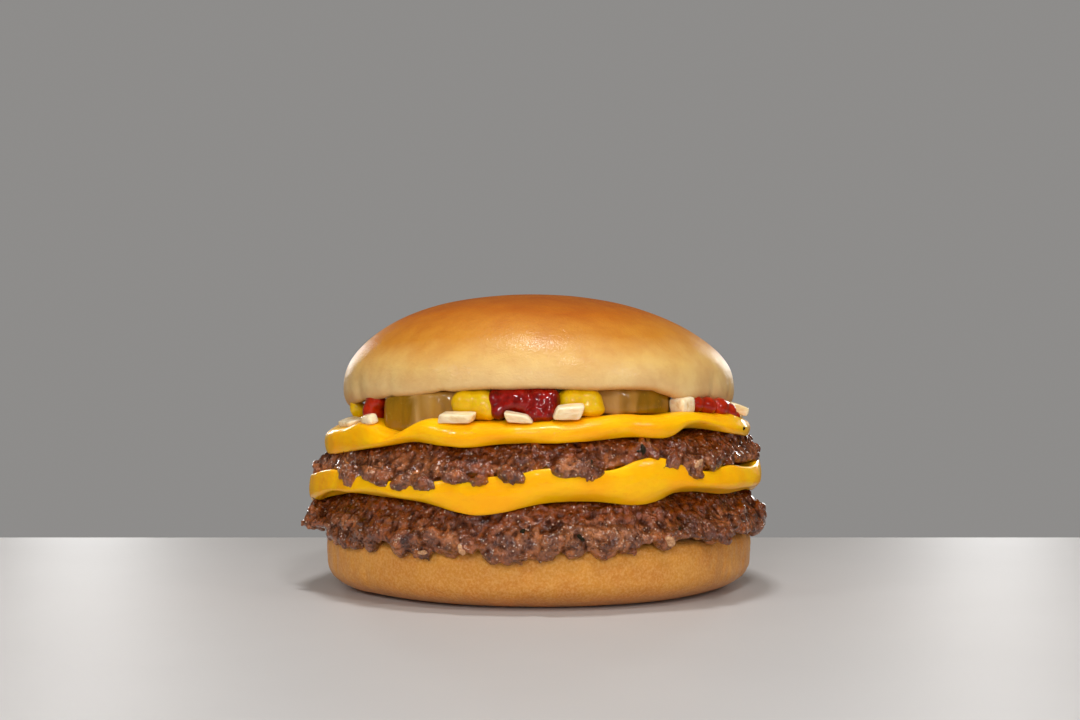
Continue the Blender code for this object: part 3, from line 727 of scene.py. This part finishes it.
upperLobes = (
    (-86, 51.6, 28.0, 2.4, 2.0, 2.2), (-81, 52.0, 27.2, 2.2, 2.0, 1.9), (-78, 50.6, 29.2, 2.4, 1.8, 2.0),
    (-55, 52.2, 28.4, 2.8, 1.8, 1.8), (-52, 52.6, 27.0, 2.6, 1.7, 1.9), (-45, 52.4, 28.4, 3.4, 1.7, 1.8),
    (-41, 52.6, 27.6, 2.6, 1.6, 1.8),
    (-34, 52.4, 27.2, 3.2, 1.7, 1.9), (-28, 52.6, 27.2, 3.2, 1.6, 1.9), (-20, 52.4, 28.4, 3.2, 1.6, 1.5),
    (-14, 52.4, 28.0, 2.4, 1.5, 1.5), (-7, 52.2, 29.4, 3.6, 1.5, 1.4), (6, 52.2, 30.0, 3.2, 1.5, 1.6),
    (11, 52.2, 30.0, 3.2, 1.5, 1.7), (33, 52.2, 31.4, 3.0, 1.6, 1.8), (38.5, 52.7, 29.8, 2.4, 1.8, 2.5),
    (45, 52.2, 31.2, 3.0, 1.6, 1.9), (78, 50.6, 31.2, 1.8, 1.7, 1.6),
)


def rimSpots(shape, count, dice):
    # places at random all over the rim, each with the way out
    faces = [f for f in shape.faces if radiusOf(f.calc_center_median()) > beefPatty["rimRadius"] * mm]
    picks = dice.choices(faces, weights=[f.calc_area() for f in faces], k=count)
    for face in picks:
        corners = [v.co for v in face.verts]
        shares = [dice.random() + 0.05 for corner in corners]
        total = sum(shares)
        yield sum((c * s / total for c, s in zip(corners, shares)), Vector()), face.normal.copy()


def grainPlace(centre, normal, sizes, dice):
    # a grain lies along the surface, turned at random and tipped a little
    towards = normal.to_track_quat("Z", "Y").to_matrix().to_4x4()
    turn = Matrix.Rotation(dice.uniform(0, math.tau), 4, "Z")
    tip = Matrix.Rotation(dice.gauss(0, 0.4), 4, "X")
    return Matrix.Translation(centre) @ towards @ turn @ tip @ Matrix.Diagonal((*sizes, 1.0))


def blobPlace(angle, reach, height, sizes, tipped=0.0):
    turn = Matrix.Rotation(math.radians(angle), 4, "Z")
    tip = Matrix.Rotation(tipped, 4, "Y")
    return Matrix.Translation(spot(angle, reach, height)) @ turn @ tip @ Matrix.Diagonal((*sizes, 1.0))


def addGrains(body, places, subdivisions=2, batch=40):
    # grains are made a few at a time, because an operator slows down as its mesh grows
    for start in range(0, len(places), batch):
        lumps = bmesh.new()
        for place in places[start : start + batch]:
            bmesh.ops.create_icosphere(lumps, subdivisions=subdivisions, radius=mm, matrix=place)
        sheet = bpy.data.meshes.new("grains")
        lumps.to_mesh(sheet)
        lumps.free()
        body.from_mesh(sheet)
        bpy.data.meshes.remove(sheet)


def keepUnderCheese(shape, cheeseSkin):
    for vert in shape.verts:
        if radiusOf(vert.co) < beefPatty["sideRadius"] * mm:
            continue
        near, out, face, distance = cheeseSkin.find_nearest(vert.co, beefPatty["cheeseNear"] * mm)
        if near is None:
            continue
        outward = out.dot(spot(angleOf(near), 1.0, 0.0))
        if (vert.co - near).dot(out) < 0.0:
            if out.z < -0.2:
                vert.co = near + out * beefPatty["cheeseGap"] * mm
        elif distance < beefPatty["rimNear"] * mm and outward > 0.3 * mm:
            vert.co = near - out * beefPatty["rimGap"] * mm  # no meat lies over the cheese's rim


def paintMeat(shape, low, high):
    # a hollow lies below a smoothed copy of the surface, and the finish paints shade into it; the meat browns
    # towards its top
    shape.normal_update()
    before = [vert.co.copy() for vert in shape.verts]
    normals = [vert.normal.copy() for vert in shape.verts]
    depths = []
    for rounds in beefPatty["hollowRounds"]:
        smoothen(shape, shape.verts, rounds)
        depths.append([(v.co - b).dot(n) / mm for v, b, n in zip(shape.verts, before, normals)])
    hollow = shape.verts.layers.float.new("hollow")
    browned = shape.verts.layers.float.new("browned")
    for vert, place, small, large in zip(shape.verts, before, *depths):
        vert.co = place
        vert[hollow] = ease(small * beefPatty["smallHollows"] + large, 0.0, beefPatty["hollowDepth"])
        vert[browned] = ease((vert.co.z - low.z) / (high.z - low.z), *beefPatty["brownedShare"])
    shape.normal_update()


def groundBeef(name, nodeName, finish, cheeseSkin, lobes, seed):
    dice = random.Random(seed)
    low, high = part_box(nodeName)
    coarser = 1.0
    body = rounded(mergedCopy(nodeName), 1)
    rim = [v for v in body.verts if radiusOf(v.co) > beefPatty["sideRadius"] * mm]
    smoothen(body, rim, beefPatty["smoothing"])
    body.normal_update()
    for vert in rim:
        vert.co += vert.normal * beefPatty["swell"] * mm
    body.normal_update()
    places = []
    for centre, normal in rimSpots(body, beefPatty["lumps"], dice):
        size = dice.uniform(*beefPatty["lumpSizes"])
        sizes = [size] + [size * dice.uniform(*beefPatty[share]) for share in ("lumpWide", "lumpTall")]
        sunk = sizes[2] * dice.uniform(*beefPatty["lumpSunk"]) * mm
        places.append(grainPlace(centre - normal * sunk, normal, sizes, dice))
    for angle, reach, height, *sizes in lobes:
        places.append(blobPlace(angle, reach, height, sizes, dice.uniform(-0.4, 0.4)))
    addGrains(body, places)
    shape = remeshed(body, beefPatty["lumpVoxel"] * coarser)

    # grains and strands go over the lumps and lobes as well
    shape.normal_update()
    places = []
    for centre, normal in rimSpots(shape, beefPatty["grains"], dice):
        size = dice.uniform(*beefPatty["grainSizes"])
        sizes = [size * dice.uniform(*beefPatty[share]) for share in ("grainLong", "grainWide", "grainTall")]
        sunk = sizes[2] * dice.uniform(*beefPatty["grainSunk"]) * mm
        places.append(grainPlace(centre - normal * sunk, normal, sizes, dice))
    for centre, normal in rimSpots(shape, beefPatty["strands"], dice):
        size = dice.uniform(*beefPatty["strandThick"])
        sizes = (dice.uniform(*beefPatty["strandLength"]), size, size)
        sunk = size * dice.uniform(*beefPatty["strandSunk"]) * mm
        places.append(grainPlace(centre - normal * sunk, normal, sizes, dice))
    addGrains(shape, places, subdivisions=1)
    shape = remeshed(shape, beefPatty["voxel"] * coarser)

    # the middle, which nobody sees, gets plain closing faces
    inner = [f for f in shape.faces if all(radiusOf(v.co) < beefPatty["hiddenRadius"] * mm for v in f.verts)]
    bmesh.ops.delete(shape, geom=inner, context="FACES")
    filled = bmesh.ops.holes_fill(shape, edges=[e for e in shape.edges if e.is_boundary], sides=0)["faces"]
    bmesh.ops.poke(shape, faces=filled)
    shape.normal_update()
    for vert in shape.verts:
        if radiusOf(vert.co) > (beefPatty["hiddenRadius"] + 1.0) * mm:
            move = beefPatty["cragDepth"] * lump(vert.co, beefPatty["cragSize"] * mm, seed)
            move += beefPatty["pitDepth"] * lump(vert.co, beefPatty["pitSize"] * mm, seed + 2.0)
            move += beefPatty["fineDepth"] * lump(vert.co, beefPatty["fineSize"] * mm, seed + 5.0)
            vert.co += vert.normal * move * mm
    keepUnderCheese(shape, cheeseSkin)
    paintMeat(shape, low, high)
    print(name, len(shape.faces), "faces")
    skin = BVHTree.FromBMesh(shape)
    finishPiece(name, shape, finish, [nodeName])
    return skin


lowerBeefSkin = groundBeef("ground_beef_lower", "patty_lower", lowerBeef, lowerCheeseSkin, lowerLobes, 11)
upperBeefSkin = groundBeef("ground_beef_upper", "patty_upper", upperBeef, upperCheeseSkin, upperLobes, 29)
print("patties ground")


# pickle chips

pickleChip = {
    "levels": 2, "pulpSize": 2.4, "pulpDepth": 0.16, "edgeSize": 2.0, "edgeDepth": 0.5,
    # one value for each chip
    "thicker": (1.3, 0.9, 0.5, 0.5), "deeper": (1.2, 0.3, 0.2, 0.2), "facings": (-38.0, 30.0, 143.0, 222.0),
    # across the front, where the first two chips show their flesh and change their outline
    "firstCut": (-28.3, -27.3), "firstSag": 1.5, "firstSagFrom": (26.0, 33.0),
    "firstReach": 0.9, "firstReachFrom": (30.0, 33.0),
    "secondCut": (20.6, 21.4), "secondSag": 0.7, "secondReach": 1.9, "secondReachFrom": (22.0, 27.0),
}


def pickleSlice(index):
    nodeName = f"pickle_{index}"
    low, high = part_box(nodeName)
    middle = (low + high) / 2.0
    shape = rounded(mergedCopy(nodeName), pickleChip["levels"])
    facing = spot(pickleChip["facings"][index - 1], 1.0, 0.0).normalized()

    def fleshAt(vert):
        across = vert.co.x / mm + pickleChip["edgeDepth"] * lump(vert.co, pickleChip["edgeSize"] * mm, index)
        if index == 1:
            cut = ease(across, *pickleChip["firstCut"])
        elif index == 2:
            cut = 1.0 - ease(across, *pickleChip["secondCut"])
        else:
            cut = ease(vert.normal.dot(facing), 0.90, 0.985)
        return max(cut, ease(abs(vert.normal.z), 0.75, 0.95))

    paint(shape, "flesh", fleshAt)
    for vert in shape.verts:
        share = ease(vert.co.z, middle.z - 1.5 * mm, middle.z + 1.5 * mm)
        rise = pickleChip["thicker"][index - 1] * share - pickleChip["deeper"][index - 1] * (1.0 - share)
        if index == 1:
            left = ease(-vert.co.x / mm, *pickleChip["firstReachFrom"])
            sag = ease(-vert.co.x / mm, *pickleChip["firstSagFrom"]) * (1.0 - share)
            rise -= pickleChip["firstSag"] * sag
            vert.co.x -= pickleChip["firstReach"] * left * mm
        if index == 2:
            right = ease(vert.co.x / mm, *pickleChip["secondReachFrom"])
            vert.co.x += pickleChip["secondReach"] * right * mm
            rise -= pickleChip["secondSag"] * right
        pushAbout(vert, pickleChip["pulpSize"], pickleChip["pulpDepth"], index)
        vert.co.z += rise * mm
    finishPiece(f"pickle_chip_{index}", shape, pickle, [nodeName])


for index in range(1, 5):
    pickleSlice(index)
print("pickles cut")


# mustard and ketchup

sauces = {
    "voxel": 0.4, "smoothing": 5, "lumpSize": 3.0, "fineSize": 1.1, "fineShare": 0.15,
    "mustardLumps": 0.18, "ketchupLumps": 0.28, "beadLumps": 0.10,
    # extra dollops: angle, radius, height, half-sizes across, deep and tall
    "mustard": {
        1: (
            (-21.6, 43.6, 43.9, 3.5, 2.6, 3.2), (-17.0, 43.0, 43.6, 4.0, 3.0, 3.6),
            (-14.8, 43.8, 42.0, 2.4, 2.0, 2.0),
        ),
        2: (
            (9.6, 43.0, 44.2, 3.4, 2.8, 3.4), (13.8, 42.8, 44.2, 3.6, 2.8, 3.4),
            (14.6, 43.6, 42.6, 3.4, 2.4, 1.8),
        ),
        3: ((-75.0, 44.6, 42.6, 1.4, 1.3, 2.6),),
        4: ((104.5, 41.8, 42.8, 3.0, 2.6, 2.6), (111.5, 42.4, 42.2, 2.8, 2.4, 2.2)),
        5: ((195.5, 42.4, 43.0, 3.0, 2.6, 2.8), (202.5, 42.9, 42.4, 2.7, 2.2, 2.1)),
    },
    "beads": {
        1: (
            (-57.0, 44.0, 43.8, 3.2, 2.2, 2.2), (-59.5, 43.6, 45.0, 2.8, 2.0, 1.6),
            (-61.0, 43.6, 43.0, 1.8, 1.8, 1.8),
        ),
        2: ((50.5, 44.6, 43.4, 2.4, 2.0, 2.2), (56.0, 45.2, 42.9, 2.8, 2.2, 2.3)),
        3: (
            (61.5, 46.0, 42.4, 2.8, 2.3, 2.5), (66.5, 47.0, 41.3, 2.1, 1.9, 2.2),
            (69.5, 47.7, 40.2, 1.5, 1.4, 1.5),
        ),
        4: ((160.8, 43.2, 43.0, 2.8, 2.2, 2.4), (167.5, 43.4, 42.3, 2.6, 2.2, 2.0)),
    },
    "pool": (
        (-12.4, 42.6, 44.4, 2.3, 3.0, 3.3), (-9.0, 43.0, 44.4, 3.0, 3.0, 3.4),
        (-5.0, 43.2, 44.5, 3.0, 3.0, 3.4), (-1.0, 43.4, 44.2, 3.0, 2.8, 3.5),
        (2.6, 43.2, 44.2, 2.6, 2.8, 3.4), (-11.6, 44.4, 42.2, 2.0, 1.8, 1.9),
        (-1.2, 45.2, 41.6, 2.4, 1.8, 1.7), (2.0, 45.2, 41.8, 1.9, 1.7, 1.8),
        (179.5, 42.8, 43.2, 3.0, 2.4, 2.6), (186.5, 43.0, 42.6, 2.8, 2.2, 2.2),
    ),
}


def sauceBlob(name, nodeName, finish, dollops, depth, seed):
    shape = rounded(mergedCopy(nodeName), 1)
    addGrains(shape, [blobPlace(angle, reach, height, sizes) for angle, reach, height, *sizes in dollops])
    shape = remeshed(shape, sauces["voxel"])
    smoothen(shape, shape.verts, sauces["smoothing"])
    shape.normal_update()
    for vert in shape.verts:
        pushAbout(vert, sauces["lumpSize"], depth, seed)
        pushAbout(vert, sauces["fineSize"], depth * sauces["fineShare"], seed + 3.0)
    finishPiece(name, shape, finish, [nodeName])


for index, dollops in sauces["mustard"].items():
    sauceBlob(
        f"mustard_dollop_{index}", f"mustard_{index}", mustard, dollops,
        sauces["mustardLumps"], index,
    )
# the beads take the brighter ketchup copy, which is painted backlight
for index, dollops in sauces["beads"].items():
    sauceBlob(
        f"ketchup_blob_{index}", f"ketchup_bead_{index}", thinKetchup, dollops,
        sauces["beadLumps"], index + 10.0,
    )
sauceBlob("ketchup_spread", "ketchup_pool", ketchup, sauces["pool"], sauces["ketchupLumps"], 20.0)
print("sauces spread")


# diced onion

dicedOnion = {
    "cutArea": 2.0, "cutEdge": 0.25, "roughSize": 1.6, "roughDepth": 0.08,
    # lean and taper differ from piece to piece, by waves over the pieces' numbers
    "lean": 0.45, "leanWave": 2.4, "taper": 0.16, "taperWave": 1.7,
    # how far a piece goes outwards, along the rim and up, and how much taller it is
    "moves": {
        1: (0.0, 0.1, 0.1, -0.7), 2: (0.0, 0.0, 0.1, -0.7), 4: (1.2, -1.6, -1.0, 1.4),
        5: (-0.3, 0.2, 0.2, 0.2), 6: (-0.4, 0.2, -0.9, -0.5), 7: (0.0, 0.6, 1.0, 0.2),
        8: (-1.6, 0.0, -0.6, -0.6), 9: (-2.4, 0.0, -1.5, -0.4), 16: (-1.4, 0.0, -1.2, -0.8),
    },
}

for index in range(1, 17):
    nodeName = f"onion_{index:02d}"
    low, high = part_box(nodeName)
    middle, tall = (low + high) / 2.0, high.z - low.z
    cube = mergedCopy(nodeName)
    cube.normal_update()
    cutFaces = [f for f in cube.faces if f.calc_area() > dicedOnion["cutArea"] * mm * mm]
    bmesh.ops.inset_individual(cube, faces=cutFaces, thickness=dicedOnion["cutEdge"] * mm)
    cube = rounded(cube, 2)
    out, along, lift, taller = dicedOnion["moves"].get(index, (0.0, 0.0, 0.0, 0.0))
    angle = angleOf(middle)
    shift = spot(angle, out, lift) + spot(angle + 90.0, along, 0.0)
    sideways = spot(angle + 90.0, 1.0, 0.0).normalized()
    lean = dicedOnion["lean"] * math.sin(dicedOnion["leanWave"] * index)
    taper = dicedOnion["taper"] * math.cos(dicedOnion["taperWave"] * index)
    for vert in cube.verts:
        share = (vert.co.z - low.z) / tall
        pushAbout(vert, dicedOnion["roughSize"], dicedOnion["roughDepth"], index)
        reach = (vert.co - middle).dot(sideways)
        vert.co += shift + Vector((0.0, 0.0, (taller * mm + taper * reach) * share))
        vert.co += sideways * lean * (share - 0.5) * tall
    finishPiece(f"onion_dice_{index:02d}", cube, onion, [nodeName])
print("onion diced")


# small bits that stick to the meat and the cheese

stuckBit = {"castFrom": 55.0, "long": (1.2, 1.8), "wide": (0.6, 0.9), "lumpSize": 0.9, "lumpDepth": 0.35}
# each bit is what it sticks to, an angle, a height and a size
fatBits = (
    (lowerBeefSkin, 32, 13.4, 1.10), (lowerBeefSkin, -17.5, 12.8, 1.00), (lowerBeefSkin, -28, 12.4, 0.90),
    (lowerBeefSkin, 118, 14.0, 1.00), (lowerBeefSkin, -141, 15.0, 0.90), (upperBeefSkin, 39, 31.2, 1.10),
    (upperBeefSkin, -106, 30.0, 0.90), (upperBeefSkin, 152, 31.0, 1.00),
)
peppercorns = (
    (upperBeefSkin, 24.9, 35.0, 0.75), (upperBeefSkin, 23.4, 34.2, 0.45), (lowerBeefSkin, 9.2, 15.9, 0.55),
    (lowerBeefSkin, -4, 19.6, 0.45), (upperBeefSkin, 12, 36.0, 0.45), (lowerBeefSkin, 35, 20.0, 0.50),
    (upperCheeseSkin, 66, 38.2, 0.45), (lowerBeefSkin, -123, 18.0, 0.50), (upperBeefSkin, 134, 33.0, 0.50),
    (upperBeefSkin, -164, 32.0, 0.45),
)


def stuckBits(name, finish, bits, flatness, seed):
    dice = random.Random(seed)
    shape = bmesh.new()
    for skin, angle, height, size in bits:
        near = skin.find_nearest(spot(angle, stuckBit["castFrom"], height))[0]
        sizes = [size * dice.uniform(*stuckBit[share]) for share in ("long", "wide")] + [size * flatness]
        place = grainPlace(near, spot(angle, 1.0, 0.0), sizes, dice)
        bmesh.ops.create_icosphere(shape, subdivisions=3, radius=mm, matrix=place)
    shape.normal_update()
    for vert in shape.verts:
        pushAbout(vert, stuckBit["lumpSize"], stuckBit["lumpDepth"], seed)
    finishPiece(name, shape, finish)


stuckBits("fat_bits", paleFat, fatBits, 0.35, 3)
stuckBits("pepper_bits", blackPepper, peppercorns, 0.6, 5)
print("bits stuck on")


# camera, light and table: their places are in metres

studio = {
    "cameraDistance": 0.397, "cameraHeight": 0.0532, "lens": 55.27, "sensor": 36.0, "clipStart": 0.01,
    # a dim warm room lights the burger, and the camera sees a plain grey one behind it
    "roomLight": (1.0, 0.80, 0.58, 1.0), "roomSeen": (1.0, 0.975, 0.95, 1.0), "roomStrengths": (0.11, 0.27),
    "tableSize": 0.26, "tablePlace": (0.0, -0.16, 0.0), "tableCloudSize": 60.0,
    "tableColours": ((0.50, 0.485, 0.478, 1.0), (0.54, 0.525, 0.518, 1.0)),
    "lights": (
        # name, place, aim, width, height, power
        ("frontFill", (-0.06, -0.66, 0.22), (0.0, 0.0, 0.035), 0.40, 0.30, 1.34),
        ("leftFill", (-0.55, -0.25, 0.12), (0.0, 0.0, 0.035), 0.30, 0.20, 0.18),
        ("rightFill", (0.55, -0.25, 0.12), (0.0, 0.0, 0.035), 0.30, 0.20, 0.15),
        ("overhead", (-0.01, -0.05, 0.54), (0.0, 0.0, 0.035), 0.09, 0.05, 1.15),
        ("glintHigh", (0.10, -0.30, 0.42), (0.0, 0.0, 0.035), 0.07, 0.03, 0.50),
        ("glintFront", (-0.05, -0.50, 0.21), (0.0, 0.0, 0.035), 0.05, 0.025, 0.28),
        ("glintLow", (0.09, -0.46, 0.10), (0.0, 0.0, 0.02), 0.03, 0.03, 0.14),
        ("leftEdge", (-0.27, 0.585, 0.15), (0.0, 0.0, 0.04), 0.06, 0.14, 0.44),
        ("rightEdge", (0.27, 0.585, 0.15), (0.0, 0.0, 0.04), 0.06, 0.14, 0.44),
        ("glintLeft", (-0.34, -0.30, 0.24), (0.0, 0.0, 0.035), 0.05, 0.05, 0.30),
        ("glintRight", (0.34, -0.30, 0.24), (0.0, 0.0, 0.035), 0.05, 0.05, 0.30),
    ),
}

cameraData = bpy.data.cameras.new("tableCamera")
cameraData.lens = studio["lens"]
cameraData.sensor_width = studio["sensor"]
cameraData.clip_start = studio["clipStart"]
camera = bpy.data.objects.new("tableCamera", cameraData)
camera.location = (0.0, -studio["cameraDistance"], studio["cameraHeight"])
camera.rotation_euler = (math.radians(90.0), 0.0, 0.0)
bpy.context.scene.collection.objects.link(camera)
bpy.context.scene.camera = camera

for name, place, aim, width, height, power in studio["lights"]:
    lampData = bpy.data.lights.new(name, "AREA")
    lampData.shape = "RECTANGLE"
    lampData.size, lampData.size_y = width, height
    lampData.energy = power
    lamp = bpy.data.objects.new(name, lampData)
    lamp.location = place
    lamp.rotation_euler = (Vector(aim) - Vector(place)).to_track_quat("-Z", "Y").to_euler()
    lamp.visible_camera = False
    lamp.visible_glossy = not name.endswith("Fill")
    bpy.context.scene.collection.objects.link(lamp)

world = bpy.data.worlds.new("softRoom")
world.use_nodes = True
room = world.node_tree.nodes["Background"]
seen = addNode(world.node_tree, "LightPath", {}).outputs["Is Camera Ray"]
feed(world.node_tree, mixed(world.node_tree, seen, studio["roomLight"], studio["roomSeen"]), room, "Color")
feed(world.node_tree, span(world.node_tree, seen, 0.0, 1.0, *studio["roomStrengths"]), room, "Strength")
bpy.context.scene.world = world
bpy.context.scene.view_settings.view_transform = "Standard"

tableShape = bmesh.new()
bmesh.ops.create_grid(
    tableShape, x_segments=1, y_segments=1, size=studio["tableSize"],
    matrix=Matrix.Translation(studio["tablePlace"]),
)
tableMesh = bpy.data.meshes.new("table")
tableShape.to_mesh(tableMesh)
tableShape.free()
tableFinish, tableTree, tableShader = startFinish("paleTable", Roughness=0.55)
tableColour = mixed(tableTree, cloudy(tableTree, studio["tableCloudSize"]), *studio["tableColours"])
feed(tableTree, tableColour, tableShader, "Base Color")
tableMesh.materials.append(tableFinish)
table = bpy.data.objects.new("table", tableMesh)
bpy.context.scene.collection.objects.link(table)
print("studio lit")
